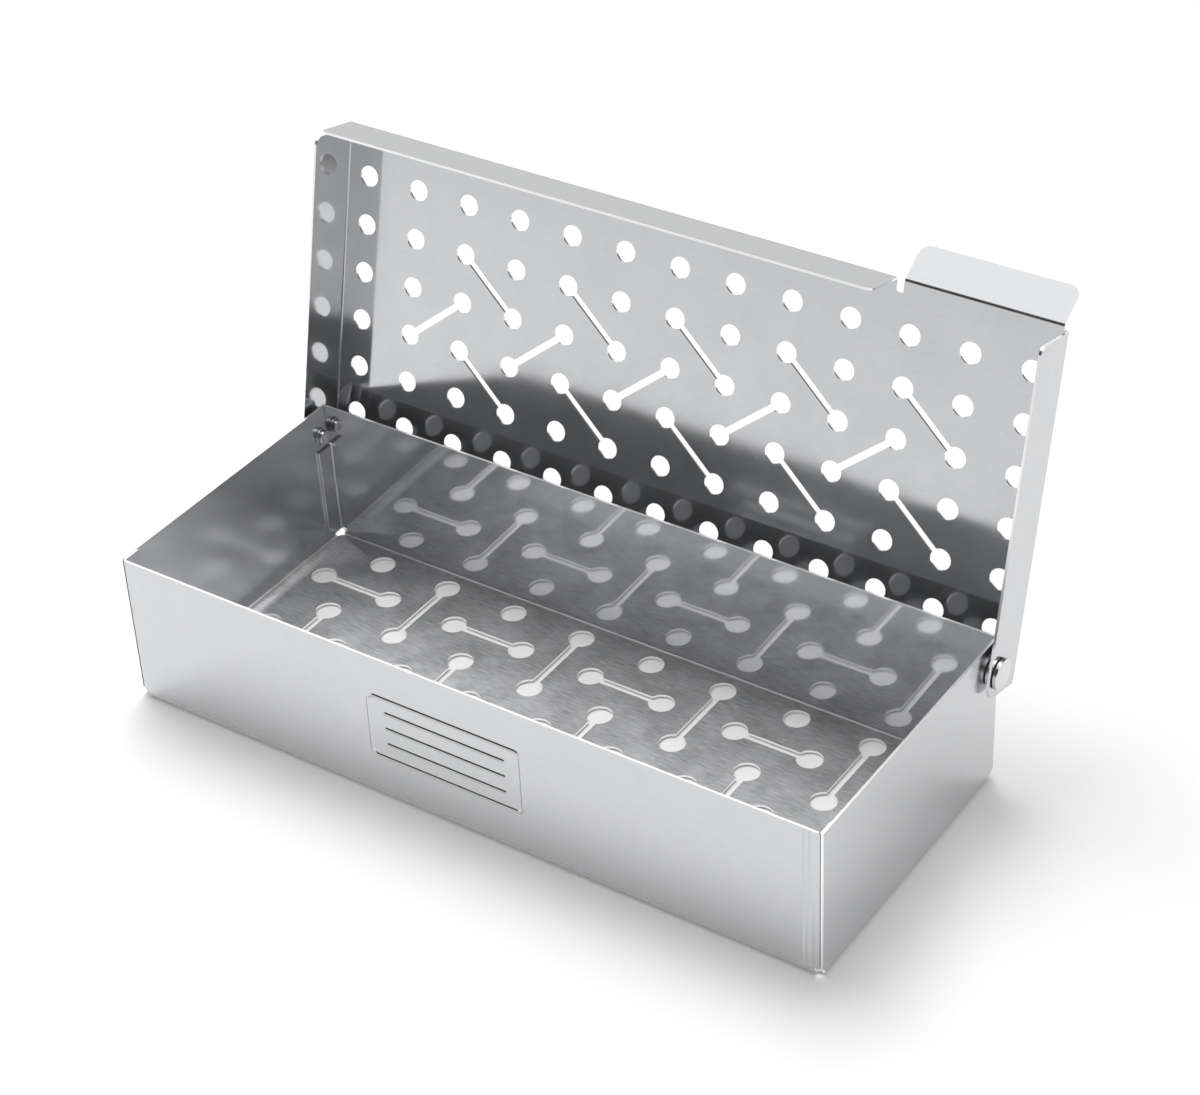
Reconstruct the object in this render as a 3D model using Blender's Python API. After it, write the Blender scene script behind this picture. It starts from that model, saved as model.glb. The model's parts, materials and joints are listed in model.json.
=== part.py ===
"""A grill smoker box: a perforated tray of folded stainless sheet with a perforated lid on two rivets.

Metres, +Z up. X runs along the box, the front is at -Y, and the origin is the middle of the tray's
underside. The lid stands open, leaning back until its rear flange meets the tray's back wall.
"""
from math import asin, cos, pi, radians, sin

import bmesh
import bpy
from mathutils import Matrix, Vector

# The sheet that both blanks are cut from, and how it is bent
SHEET = 0.0008
BEND_RADIUS = 0.0010
BEND_STEPS = 3
CORNER_STEPS = 4

# Gaps between pieces that touch or run on each other
CLEARANCE = 0.0003
TAB_GAP = 0.0004

# The tray, over its outer faces
TRAY_LENGTH = 0.2500
TRAY_WIDTH = 0.1021
TRAY_HEIGHT = 0.0527
TAB_REACH = 0.0070
TAB_FOOT = 0.0028
REAR_TAB_DROP = 0.0155
RELIEF_SLIT = 0.0008
RELIEF_DEPTH = 0.0012
LONG_CORNER_RELIEF = 0.0027
SHORT_CORNER_RELIEF = 0.0020

# The floor's holes and slots: staggered columns half a pitch apart, rows from the back wall forward
FLOOR_COLUMNS = 18
FLOOR_ROWS = 6
FLOOR_LEFT_MARGIN = 0.0116
FLOOR_RIGHT_MARGIN = 0.0102
FLOOR_BACK_MARGIN = 0.0077
FLOOR_FRONT_MARGIN = 0.0202
FLOOR_HOLE = 0.0086
FLOOR_SLOT = 0.0027

# Spot welds between each corner tab and its end wall
WELD = 0.0030
WELDS_PER_TAB = 2
WELD_SIDES = 10

# The raised frame and ribs on the front wall
PLATE_LENGTH = 0.0560
PLATE_HEIGHT = 0.0236
PLATE_MIDDLE_X = -0.0028
PLATE_MIDDLE_Z = 0.0273
PLATE_CORNER = 0.0018
BEAD = 0.0011
BEAD_RISE = 0.0004
RIBS = 3
RIB_MARGIN = 0.0065

# The two pivots
PIVOT_INSET = 0.0042
PIVOT_DROP = 0.0098
SHANK = 0.0040
RIVET_HEAD = 0.0100
RIVET_HEAD_THICKNESS = 0.0012
RIVET_DISH = 0.0046
RIVET_DISH_DEPTH = 0.0002
CLINCH = 0.0046
CLINCH_THICKNESS = 0.0011
CLINCH_HOLLOW = 0.0020
CLINCH_HOLLOW_DEPTH = 0.0006
SPACER = 0.0090
BURR_WASHER = 0.0054
BURR_WASHER_THICKNESS = 0.0005
EDGE_BREAK = 0.00015
ROUND_SIDES = 32

# The lid, by the gaps it keeps to the tray when it lies closed and level
LID_SIDE_GAP = 0.0018
LID_FRONT_GAP = 0.0065
LID_REAR_GAP = 0.0026
LID_TOP_GAP = 0.0021
OPEN_LEAN = radians(12.96)
EAR_DROP = 0.0058
EAR_FRONT_GAP = 0.0020
EAR_FRONT_CORNER = 0.0025
EAR_REAR_CORNER = 0.0050
FRONT_FLANGE = 0.0168
FRONT_FLANGE_CORNER = 0.0030
FRONT_FLANGE_INSET = 0.0007
FRONT_FLANGE_END_CORNER = 0.0012
REAR_FLANGE_INSET = 0.0020
BEND_RELIEF = 0.0006

# The lift tab at the lid's right front corner
TAB_WIDTH = 0.0509
TAB_LENGTH = 0.0130
TAB_INSET = 0.0017
TAB_SETBACK = 0.0009
TAB_TILT = radians(45)
TAB_CORNER = 0.0035
NOTCH_WIDTH = 0.0023
NOTCH_DEPTH = 0.0046

# The lid's holes and slots, on a square grid of rows and columns
LID_COLUMNS = 13
LID_ROWS = 6
LID_SIDE_MARGIN = 0.00915
LID_FRONT_MARGIN = 0.0165
LID_REAR_MARGIN = 0.0144
LID_HOLE = 0.0069
LID_SLOT = 0.0022
HOLE_SIDES = 16

CUT_OVERRUN = 0.0020
MERGE = 0.000001

HALF_SHEET = SHEET / 2
PIVOT_Y = TRAY_WIDTH / 2 - PIVOT_INSET
PIVOT_Z = TRAY_HEIGHT - PIVOT_DROP
FLAT_INSET = HALF_SHEET + BEND_RADIUS

for thing in list(bpy.data.objects):
    bpy.data.objects.remove(thing)


def steel(name, colour, roughness):
    """A polished or brushed steel finish."""
    material = bpy.data.materials.new(name)
    material.use_nodes = True
    shader = material.node_tree.nodes["Principled BSDF"]
    shader.inputs["Base Color"].default_value = (*colour, 1)
    shader.inputs["Metallic"].default_value = 1
    shader.inputs["Roughness"].default_value = roughness
    return material


def make_object(name, bm, material=None):
    """Turn a bmesh into an object in the scene."""
    mesh = bpy.data.meshes.new(name)
    bm.to_mesh(mesh)
    bm.free()
    piece = bpy.data.objects.new(name, mesh)
    bpy.context.scene.collection.objects.link(piece)
    if material:
        mesh.materials.append(material)
    return piece


def edge_frame(frame, x, y, outward):
    """The frame at a point of a flat panel's edge: its y leaves the panel at the angle outward, its x
    runs along the edge, and its z stays the panel's normal."""
    return frame @ Matrix.Translation((x, y, 0)) @ Matrix.Rotation(outward - pi / 2, 4, "Z")


def add_panel(bm, frame, outline):
    """A flat area of the blank, with its outline in the frame's x and y."""
    bm.faces.new([bm.verts.new(frame @ Vector((x, y, 0))) for x, y in outline])


def add_bend(bm, frame, start, end, angle):
    """Bend the sheet along the frame's x from start to end, towards +z, or towards -z where the angle is
    negative. The answer is the frame at the bend's far side."""
    side = 1 if angle > 0 else -1

    def past(turned):
        across = BEND_RADIUS * sin(abs(turned))
        up = side * BEND_RADIUS * (1 - cos(turned))
        return across, up

    previous = None
    for step in range(BEND_STEPS + 1):
        across, up = past(angle * step / BEND_STEPS)
        row = [bm.verts.new(frame @ Vector((x, across, up))) for x in (start, end)]
        if previous:
            bm.faces.new((previous[0], previous[1], row[1], row[0]))
        previous = row
    across, up = past(angle)
    return frame @ Matrix.Translation((0, across, up)) @ Matrix.Rotation(angle, 4, "X")


def rounded(corner, before, after, radius):
    """Points of the arc that rounds an outline's square corner, from the side before to the side after."""
    corner, before, after = Vector(corner), Vector(before), Vector(after)
    back = (before - corner).normalized() * radius
    onward = (after - corner).normalized() * radius
    centre = corner + back + onward
    turns = [step / CORNER_STEPS * pi / 2 for step in range(CORNER_STEPS + 1)]
    return [tuple(centre - onward * cos(turn) - back * sin(turn)) for turn in turns]


def fold_up(name, bm, material):
    """Join the panels and bends into one surface and give it the sheet's thickness."""
    bmesh.ops.remove_doubles(bm, verts=bm.verts, dist=MERGE)
    bmesh.ops.recalc_face_normals(bm, faces=bm.faces)
    piece = make_object(name, bm, material)
    thickness = piece.modifiers.new("sheet", "SOLIDIFY")
    thickness.thickness = SHEET
    thickness.offset = 0
    thickness.use_even_offset = True
    return piece


def circle(centre, radius, start=0, sweep=2 * pi, sides=HOLE_SIDES, closed=True):
    """Points round a circle, or along an arc of it."""
    count = sides if closed else sides + 1
    turns = [start + sweep * step / sides for step in range(count)]
    return [(centre[0] + radius * cos(turn), centre[1] + radius * sin(turn)) for turn in turns]


def slotted_pair(first, second, hole, slot):
    """The outline of two round holes joined by a narrower slot."""
    radius = hole / 2
    mouth = asin(slot / hole)
    run = Vector(second) - Vector(first)
    heading = Vector((1, 0)).angle_signed(run)
    heading = -heading
    sweep = 2 * (pi - mouth)
    one = circle(first, radius, heading + mouth, sweep, HOLE_SIDES - 2, closed=False)
    two = circle(second, radius, heading + pi + mouth, sweep, HOLE_SIDES - 2, closed=False)
    return one + two


def add_prism(bm, outline, frame, low, high):
    """A closed solid with an outline in the frame's x and y, from low to high along its z."""
    bottom = [bm.verts.new(frame @ Vector((x, y, low))) for x, y in outline]
    top = [bm.verts.new(frame @ Vector((x, y, high))) for x, y in outline]
    bm.faces.new(bottom)
    bm.faces.new(top)
    for here, (low_a, top_a) in enumerate(zip(bottom, top)):
        ahead = (here + 1) % len(outline)
        bm.faces.new((low_a, bottom[ahead], top[ahead], top_a))


def make_tool(name, bm, target, operation):
    """A hidden solid that is cut from its target or joined to it."""
    bmesh.ops.recalc_face_normals(bm, faces=bm.faces)
    tool = make_object(name, bm)
    tool.hide_render = True
    tool.display_type = "WIRE"
    boolean = target.modifiers.new(name, "BOOLEAN")
    boolean.operation = operation
    boolean.object = tool
    boolean.solver = "EXACT"
    return tool


def facing_x(x, y, z):
    """A frame at a point, with its z along +X."""
    return Matrix.Translation((x, y, z)) @ Matrix.Rotation(pi / 2, 4, "Y")


sheet_steel = steel("brushed_stainless", (0.62, 0.62, 0.63), 0.25)
rivet_steel = steel("rivet_steel", (0.70, 0.70, 0.71), 0.20)
washer_steel = steel("washer_steel", (0.48, 0.48, 0.49), 0.30)

# The tray's blank: the floor, then each wall past its bend, then the corner tabs past theirs
floor_x = TRAY_LENGTH / 2 - FLAT_INSET
floor_y = TRAY_WIDTH / 2 - FLAT_INSET
long_foot = TRAY_LENGTH / 2 - LONG_CORNER_RELIEF
short_foot = TRAY_WIDTH / 2 - SHORT_CORNER_RELIEF
wall_height = TRAY_HEIGHT - FLAT_INSET
tab_face = TRAY_LENGTH / 2 - SHEET - TAB_GAP
tab_fold = tab_face - FLAT_INSET
tab_foot = TAB_FOOT - FLAT_INSET
rear_tab_top = wall_height - REAR_TAB_DROP

tray_mesh = bmesh.new()
floor = Matrix.Translation((0, 0, HALF_SHEET))
add_panel(tray_mesh, floor, [
    (-long_foot, -floor_y), (long_foot, -floor_y), (floor_x, -short_foot), (floor_x, short_foot),
    (long_foot, floor_y), (-long_foot, floor_y), (-floor_x, short_foot), (-floor_x, -short_foot)])


def corner_tab(wall, side, bottom, top):
    """The tab past a long wall's end, folded in along the inside of the end wall."""
    edge = edge_frame(wall, side * tab_fold, 0, 0 if side > 0 else pi)
    start, end = sorted((-side * bottom, -side * top))
    tab = add_bend(tray_mesh, edge, start, end, pi / 2)
    reach = TAB_REACH - FLAT_INSET
    add_panel(tray_mesh, tab, [(start, 0), (end, 0), (end, reach), (start, reach)])


front_wall = add_bend(tray_mesh, edge_frame(floor, 0, -floor_y, -pi / 2), -long_foot, long_foot, pi / 2)
add_panel(tray_mesh, front_wall, [
    (-long_foot, 0), (long_foot, 0), (tab_fold, tab_foot), (tab_fold, wall_height),
    (-tab_fold, wall_height), (-tab_fold, tab_foot)])
for side in (1, -1):
    corner_tab(front_wall, side, tab_foot, wall_height)

back_wall = add_bend(tray_mesh, edge_frame(floor, 0, floor_y, pi / 2), -long_foot, long_foot, pi / 2)
slit_end = tab_fold - RELIEF_DEPTH
slit_top = rear_tab_top + RELIEF_SLIT
right_end = [(tab_fold, tab_foot), (tab_fold, rear_tab_top), (slit_end, rear_tab_top),
             (slit_end, slit_top), (tab_face, slit_top), (tab_face, wall_height)]
left_end = [(-x, y) for x, y in reversed(right_end)]
add_panel(tray_mesh, back_wall, [(-long_foot, 0), (long_foot, 0)] + right_end + left_end)
for side in (1, -1):
    corner_tab(back_wall, side, tab_foot, rear_tab_top)

end_wall_half = TRAY_WIDTH / 2
for side in (1, -1):
    edge = edge_frame(floor, side * floor_x, 0, 0 if side > 0 else pi)
    end_wall = add_bend(tray_mesh, edge, -short_foot, short_foot, pi / 2)
    add_panel(tray_mesh, end_wall, [
        (-short_foot, 0), (short_foot, 0), (end_wall_half, tab_foot), (end_wall_half, wall_height),
        (-end_wall_half, wall_height), (-end_wall_half, tab_foot)])

tray = fold_up("tray", tray_mesh, sheet_steel)

# The floor's pattern: holes in every other place of a grid, most of them joined in pairs by slots that
# run along and across the tray by turns, like a basket weave
column_pitch = (TRAY_LENGTH - FLOOR_LEFT_MARGIN - FLOOR_RIGHT_MARGIN) / (FLOOR_COLUMNS - 1)
row_pitch = (TRAY_WIDTH - FLOOR_BACK_MARGIN - FLOOR_FRONT_MARGIN) / (FLOOR_ROWS - 1)


def floor_place(column, row):
    """The middle of a floor hole, counting columns from the left and rows from the back."""
    x = FLOOR_LEFT_MARGIN - TRAY_LENGTH / 2 + column * column_pitch
    y = TRAY_WIDTH / 2 - FLOOR_BACK_MARGIN - row * row_pitch
    return x, y


def floor_partner(column, row):
    """The place that a floor hole is joined to by its slot: two columns on, two rows on, or none."""
    if row % 2 == 0:
        crosswise = (column + row) % 4 == 3
        return (column, row + 2) if crosswise else None
    lengthwise = row % 4 == 1 and column % 4 == 0
    return (column + 2, row) if lengthwise else None


floor_holes = bmesh.new()
floor_cut = (floor, -HALF_SHEET - CUT_OVERRUN, HALF_SHEET + CUT_OVERRUN)
joined = set()
for row in range(FLOOR_ROWS):
    for column in range(1 - row % 2, FLOOR_COLUMNS, 2):
        partner = floor_partner(column, row)
        inside = partner and partner[0] < FLOOR_COLUMNS and partner[1] < FLOOR_ROWS
        if (column, row) in joined:
            continue
        if inside:
            outline = slotted_pair(floor_place(column, row), floor_place(*partner), FLOOR_HOLE, FLOOR_SLOT)
            joined.add(partner)
        else:
            outline = circle(floor_place(column, row), FLOOR_HOLE / 2)
        add_prism(floor_holes, outline, *floor_cut)

# The pivot holes in the end walls
shank_hole = SHANK / 2 + CLEARANCE
wall_middle = TRAY_LENGTH / 2 - HALF_SHEET
for side in (1, -1):
    hole_frame = facing_x(side * wall_middle, PIVOT_Y, PIVOT_Z)
    reach = HALF_SHEET + CUT_OVERRUN
    add_prism(floor_holes, circle((0, 0), shank_hole, sides=ROUND_SIDES), hole_frame, -reach, reach)
make_tool("tray_holes", floor_holes, tray, "DIFFERENCE")

# Spot welds bridge the gap from each tab's mid-plane to the end wall's
tray_additions = bmesh.new()
tab_middle = TRAY_WIDTH / 2 - (TAB_REACH + FLAT_INSET) / 2
for side in (1, -1):
    for depth, top in ((-tab_middle, TRAY_HEIGHT), (tab_middle, TRAY_HEIGHT - REAR_TAB_DROP)):
        for count in range(WELDS_PER_TAB):
            height = TAB_FOOT + (top - TAB_FOOT) * (count + 1) / (WELDS_PER_TAB + 1)
            weld_frame = facing_x(side * (tab_face - HALF_SHEET), depth, height)
            low, high = sorted((0, side * (SHEET + TAB_GAP)))
            add_prism(tray_additions, circle((0, 0), WELD / 2, sides=WELD_SIDES), weld_frame, low, high)

# The raised frame on the front wall, with plain ribs inside it
plate = (Matrix.Translation((PLATE_MIDDLE_X, -TRAY_WIDTH / 2 + HALF_SHEET, PLATE_MIDDLE_Z))
         @ Matrix.Rotation(pi / 2, 4, "X"))


def rounded_rectangle(half_x, half_y, radius):
    """The outline of a rectangle with round corners, about the frame's origin."""
    corners = [(-half_x, -half_y), (half_x, -half_y), (half_x, half_y), (-half_x, half_y)]
    outline = []
    for here, corner in enumerate(corners):
        outline += rounded(corner, corners[here - 1], corners[(here + 1) % len(corners)], radius)
    return outline


def add_ring(bm, outer, inner, frame, low, high):
    """A closed frame between two outlines that have as many points as each other."""
    loops = [[bm.verts.new(frame @ Vector((x, y, level))) for x, y in outline]
             for outline, level in ((outer, low), (outer, high), (inner, high), (inner, low))]
    for here, loop in enumerate(loops):
        onward = loops[(here + 1) % len(loops)]
        for point in range(len(loop)):
            ahead = (point + 1) % len(loop)
            bm.faces.new((loop[point], loop[ahead], onward[ahead], onward[point]))


plate_half_x = PLATE_LENGTH / 2
plate_half_z = PLATE_HEIGHT / 2
bead_high = HALF_SHEET + BEAD_RISE
add_ring(tray_additions, rounded_rectangle(plate_half_x, plate_half_z, PLATE_CORNER + BEAD),
         rounded_rectangle(plate_half_x - BEAD, plate_half_z - BEAD, PLATE_CORNER), plate, 0, bead_high)
rib_pitch = PLATE_HEIGHT / (RIBS + 1)
for count in range(RIBS):
    rib_z = (count + 1) * rib_pitch - plate_half_z
    rib_x = plate_half_x - RIB_MARGIN
    right_half = circle((rib_x, rib_z), BEAD / 2, -pi / 2, pi, CORNER_STEPS, closed=False)
    left_half = circle((-rib_x, rib_z), BEAD / 2, pi / 2, pi, CORNER_STEPS, closed=False)
    add_prism(tray_additions, right_half + left_half, plate, 0, bead_high)
make_tool("tray_welds_and_beads", tray_additions, tray, "UNION")

# The lid's blank, drawn as it lies closed, with the pivot's axis at its origin. Its own x and y are the
# box's X and the distance forward of the pivot, and its z points down into the tray.
lid_half = TRAY_LENGTH / 2 + LID_SIDE_GAP + SHEET
lid_front = PIVOT_Y + TRAY_WIDTH / 2 + LID_FRONT_GAP + SHEET
lid_rear = -(PIVOT_INSET + LID_REAR_GAP + SHEET)
lid_rise = PIVOT_DROP + LID_TOP_GAP + HALF_SHEET
lid_side_fold = lid_half - FLAT_INSET
lid_front_fold = lid_front - FLAT_INSET
lid_rear_fold = lid_rear + FLAT_INSET
tab_right = lid_half - TAB_INSET
tab_left = tab_right - TAB_WIDTH
notch_left = tab_left - NOTCH_WIDTH
tab_bend = lid_front - TAB_SETBACK
ear_front = lid_front - EAR_FRONT_GAP
ear_start = lid_rear_fold + BEND_RELIEF
rear_flange_end = lid_side_fold - REAR_FLANGE_INSET
notch_bottom = lid_front - NOTCH_DEPTH
flange_left = FRONT_FLANGE_INSET - lid_half

lid_mesh = bmesh.new()
panel = Matrix.Translation((0, 0, lid_rise)) @ Matrix.Rotation(pi, 4, "X")
add_panel(lid_mesh, panel, [
    (-rear_flange_end, lid_rear_fold), (rear_flange_end, lid_rear_fold), (lid_side_fold, ear_start),
    (lid_side_fold, ear_front), (tab_right, tab_bend), (tab_left, tab_bend), (tab_left, notch_bottom),
    (notch_left, notch_bottom), (notch_left, lid_front_fold), (flange_left, lid_front_fold),
    (-lid_side_fold, ear_front), (-lid_side_fold, ear_start)])

# The front flange, which runs past the left ear's front edge and ends at the notch on the right
flange = add_bend(lid_mesh, edge_frame(panel, 0, lid_front_fold, pi / 2), flange_left, notch_left, pi / 2)
flange_end = FRONT_FLANGE - FLAT_INSET - HALF_SHEET
right_corner, left_corner = (notch_left, flange_end), (flange_left, flange_end)
add_panel(lid_mesh, flange, [
    (flange_left, 0), (notch_left, 0),
    *rounded(right_corner, (notch_left, 0), left_corner, FRONT_FLANGE_CORNER),
    *rounded(left_corner, right_corner, (flange_left, 0), FRONT_FLANGE_END_CORNER)])

# The lift tab, bent up and away from the tray
lift = add_bend(lid_mesh, edge_frame(panel, 0, tab_bend, pi / 2), tab_left, tab_right, -TAB_TILT)
lift_end = TAB_LENGTH - BEND_RADIUS
add_panel(lid_mesh, lift, [
    (tab_left, 0), (tab_right, 0),
    *rounded((tab_right, lift_end), (tab_right, 0), (tab_left, lift_end), TAB_CORNER),
    *rounded((tab_left, lift_end), (tab_right, lift_end), (tab_left, 0), TAB_CORNER)])

# The rear flange, as deep as the open lid's lean needs to rest it on the back wall
stop_distance = PIVOT_INSET + CLEARANCE - lid_rear * sin(OPEN_LEAN)
stop_tip = stop_distance / cos(OPEN_LEAN)
rear_flange = add_bend(lid_mesh, edge_frame(panel, 0, lid_rear_fold, -pi / 2),
                       -rear_flange_end, rear_flange_end, pi / 2)
rear_length = lid_rise - stop_tip - BEND_RADIUS
add_panel(lid_mesh, rear_flange, [
    (-rear_flange_end, 0), (rear_flange_end, 0), (rear_flange_end, rear_length),
    (-rear_flange_end, rear_length)])

# The side flanges, whose rear ends are the hinge ears
ear_edge = lid_rise + EAR_DROP - BEND_RADIUS
ear_outline = [
    (ear_start, 0), (ear_front, 0),
    *rounded((ear_front, ear_edge), (ear_front, 0), (lid_rear, ear_edge), EAR_FRONT_CORNER),
    *rounded((lid_rear, ear_edge), (ear_front, ear_edge), (lid_rear, 0), EAR_REAR_CORNER),
    (lid_rear, 0)]
for side in (1, -1):
    edge = edge_frame(panel, side * lid_side_fold, 0, 0 if side > 0 else pi)
    start, end = sorted((-side * ear_start, -side * ear_front))
    ear = add_bend(lid_mesh, edge, start, end, pi / 2)
    outline = [(-side * y, depth) for y, depth in ear_outline]
    add_panel(lid_mesh, ear, outline)

lid = fold_up("lid", lid_mesh, sheet_steel)

# The lid's pattern: a plain grid of holes, with slanted slots that zigzag between its middle rows
lid_column_pitch = (2 * lid_half - 2 * LID_SIDE_MARGIN) / (LID_COLUMNS - 1)
lid_row_pitch = (lid_front - lid_rear - LID_FRONT_MARGIN - LID_REAR_MARGIN) / (LID_ROWS - 1)


def lid_place(column, row):
    """The middle of a lid hole, counting columns from the left and rows from the front."""
    x = LID_SIDE_MARGIN - lid_half + column * lid_column_pitch
    y = lid_front - LID_FRONT_MARGIN - row * lid_row_pitch
    return x, y


lid_holes = bmesh.new()
lid_cut = (panel, -HALF_SHEET - CUT_OVERRUN, HALF_SHEET + CUT_OVERRUN)
joined = set()
for column in range(2, LID_COLUMNS - 1, 2):
    for first, second in (((column, 1), (column + 1, 2)), ((column, 2), (column - 1, 3)),
                          ((column, 3), (column + 1, 4))):
        outline = slotted_pair(lid_place(*first), lid_place(*second), LID_HOLE, LID_SLOT)
        add_prism(lid_holes, outline, *lid_cut)
        joined |= {first, second}
for column in range(LID_COLUMNS):
    for row in range(LID_ROWS):
        if (column, row) not in joined:
            add_prism(lid_holes, circle(lid_place(column, row), LID_HOLE / 2), *lid_cut)

ear_middle = lid_half - HALF_SHEET
for side in (1, -1):
    reach = HALF_SHEET + CUT_OVERRUN
    ear_hole = circle((0, 0), shank_hole, sides=ROUND_SIDES)
    add_prism(lid_holes, ear_hole, facing_x(side * ear_middle, 0, 0), -reach, reach)
lid_tool = make_tool("lid_holes", lid_holes, lid, "DIFFERENCE")

# The pivot's axis carries the lid, and the lid leans back from upright
pivot = bpy.data.objects.new("pivot_axis", None)
bpy.context.scene.collection.objects.link(pivot)
pivot.location = (0, PIVOT_Y, PIVOT_Z)
pivot.rotation_euler = (-pi / 2 - OPEN_LEAN, 0, 0)
lid.parent = pivot
lid_tool.parent = pivot


def turned(name, profile, closed, material, side):
    """A round piece on the pivot's axis: a profile of places along the axis and radii, turned once."""
    bm = bmesh.new()
    points = [bm.verts.new((along, radius, 0)) for along, radius in profile]
    pairs = list(zip(points, points[1:])) + ([(points[-1], points[0])] if closed else [])
    edges = [bm.edges.new(pair) for pair in pairs]
    bmesh.ops.spin(bm, geom=points + edges, cent=(0, 0, 0), axis=(1, 0, 0), angle=2 * pi,
                   steps=ROUND_SIDES, use_merge=True)
    bmesh.ops.remove_doubles(bm, verts=bm.verts, dist=MERGE)
    bmesh.ops.recalc_face_normals(bm, faces=bm.faces)
    piece = make_object(name, bm, material)
    piece.data.shade_smooth()
    piece.data.set_sharp_from_angle(angle=radians(30))
    piece.location = (0, PIVOT_Y, PIVOT_Z)
    piece.rotation_euler = (0, 0, 0 if side > 0 else pi)
    return piece


def washer_profile(low, high, hole_radius, outer_radius):
    """A flat ring's section, with its outer edges broken."""
    return [(low, hole_radius), (high, hole_radius), (high, outer_radius - EDGE_BREAK),
            (high - EDGE_BREAK, outer_radius), (low + EDGE_BREAK, outer_radius),
            (low, outer_radius - EDGE_BREAK)]


# Along the pivot's axis, from inside the tray outwards: clinched end, small washer, end wall, spacer, ear
# and rivet head, each a clearance from the next
inner_face = TRAY_LENGTH / 2 - SHEET
small_high = inner_face - CLEARANCE
small_low = small_high - BURR_WASHER_THICKNESS
clinch_high = small_low - CLEARANCE
clinch_low = clinch_high - CLINCH_THICKNESS
spacer_low = TRAY_LENGTH / 2 + CLEARANCE
spacer_high = TRAY_LENGTH / 2 + LID_SIDE_GAP - CLEARANCE
head_low = lid_half + CLEARANCE
head_high = head_low + RIVET_HEAD_THICKNESS
rivet_profile = [
    (clinch_low + CLINCH_HOLLOW_DEPTH, 0),
    (clinch_low + CLINCH_HOLLOW_DEPTH, CLINCH_HOLLOW / 2 - EDGE_BREAK),
    (clinch_low, CLINCH_HOLLOW / 2),
    (clinch_low, CLINCH / 2 - CLINCH_THICKNESS / 2),
    (clinch_low + CLINCH_THICKNESS / 2, CLINCH / 2),
    (clinch_high, CLINCH / 2),
    (clinch_high, SHANK / 2),
    (head_low, SHANK / 2),
    (head_low, RIVET_HEAD / 2 - EDGE_BREAK),
    (head_low + EDGE_BREAK, RIVET_HEAD / 2),
    (head_high - EDGE_BREAK, RIVET_HEAD / 2),
    (head_high, RIVET_HEAD / 2 - EDGE_BREAK),
    (head_high, RIVET_DISH / 2),
    (head_high - RIVET_DISH_DEPTH, RIVET_DISH / 2 - RIVET_DISH_DEPTH),
    (head_high - RIVET_DISH_DEPTH, 0)]
for side, word in ((1, "right"), (-1, "left")):
    turned(f"rivet_{word}", rivet_profile, False, rivet_steel, side)
    turned(f"spacer_{word}", washer_profile(spacer_low, spacer_high, shank_hole, SPACER / 2),
           True, washer_steel, side)
    turned(f"burr_washer_{word}", washer_profile(small_low, small_high, shank_hole, BURR_WASHER / 2),
           True, washer_steel, side)
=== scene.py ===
import json
from math import asin, cos, pi, radians, sin

import bpy
import numpy as np
from mathutils import Matrix, Vector
from mathutils.geometry import delaunay_2d_cdt


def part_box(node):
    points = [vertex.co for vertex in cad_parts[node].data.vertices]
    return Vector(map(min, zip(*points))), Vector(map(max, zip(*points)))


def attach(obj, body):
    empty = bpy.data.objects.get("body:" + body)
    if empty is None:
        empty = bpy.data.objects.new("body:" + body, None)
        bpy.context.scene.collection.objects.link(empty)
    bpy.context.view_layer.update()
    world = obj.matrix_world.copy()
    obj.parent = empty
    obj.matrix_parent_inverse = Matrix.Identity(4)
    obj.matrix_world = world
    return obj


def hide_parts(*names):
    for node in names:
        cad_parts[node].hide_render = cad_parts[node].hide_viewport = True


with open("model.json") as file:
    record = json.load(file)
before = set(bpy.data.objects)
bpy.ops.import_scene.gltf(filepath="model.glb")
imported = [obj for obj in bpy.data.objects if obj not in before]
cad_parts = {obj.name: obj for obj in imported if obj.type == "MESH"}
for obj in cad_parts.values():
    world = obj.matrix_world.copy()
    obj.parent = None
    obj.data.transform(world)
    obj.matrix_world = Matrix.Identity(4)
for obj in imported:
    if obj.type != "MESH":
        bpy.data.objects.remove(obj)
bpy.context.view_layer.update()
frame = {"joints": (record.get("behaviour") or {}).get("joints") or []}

# The camera: a long lens at the box's front right, looking down on it, with the slight roll of a camera
# held by hand. Its place and angles put the folded edges and the holes where the photograph has them.
CAMERA_PLACE = (0.421605, -0.565494, 0.572835)
CAMERA_TURN = radians(35.346)
CAMERA_DIP = radians(35.501)
CAMERA_ROLL = radians(-2.924)
SENSOR_WIDTH = 36
FOCAL_LENGTH = 87.641
NEAREST_SEEN = 0.01

camera = bpy.data.objects.new("camera", bpy.data.cameras.new("camera"))
camera.data.sensor_fit = "HORIZONTAL"
camera.data.sensor_width = SENSOR_WIDTH
camera.data.lens = FOCAL_LENGTH
camera.data.clip_start = NEAREST_SEEN
camera.matrix_world = (Matrix.Translation(CAMERA_PLACE) @ Matrix.Rotation(CAMERA_TURN, 4, "Z")
                       @ Matrix.Rotation(pi / 2 - CAMERA_DIP, 4, "X") @ Matrix.Rotation(CAMERA_ROLL, 4, "Z"))
bpy.context.scene.collection.objects.link(camera)
bpy.context.scene.camera = camera
bpy.context.scene.view_settings.view_transform = "Standard"

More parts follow.
